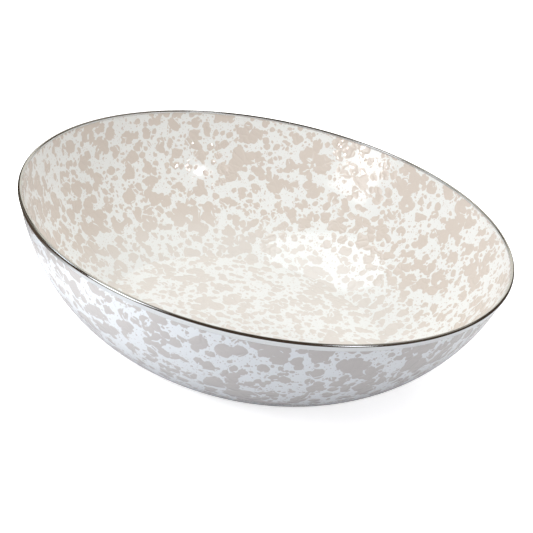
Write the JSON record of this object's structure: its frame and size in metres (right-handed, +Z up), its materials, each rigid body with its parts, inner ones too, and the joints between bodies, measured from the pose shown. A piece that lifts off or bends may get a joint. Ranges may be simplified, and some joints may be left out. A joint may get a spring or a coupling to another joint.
{
  "type": "catering bowl",
  "caption": "Wide round steel catering bowl with spattered enamel inside and out, a flat base, a curved flaring wall and a stainless strip rolled over its edge.",
  "frame": {"origin": "middle of the base, on the surface that the bowl stands on", "axes": "+Z up along the bowl's axis, +Y towards the seam of the rim strip"},
  "size_m": [0.4398, 0.4398, 0.117],
  "materials": {
    "outer_enamel": "glossy vitreous enamel, cool white with lobed taupe spatter",
    "sheet_steel": "bare pressed sheet, hidden under the enamel",
    "inner_enamel": "glossy vitreous enamel, warm white with lobed taupe spatter",
    "stainless": "polished stainless strip"
  },
  "bodies": {
    "root": {"outer_enamel": "outer_enamel", "steel_body": "sheet_steel", "inner_enamel": "inner_enamel", "rim_strip": "stainless"}
  },
  "joints": []
}
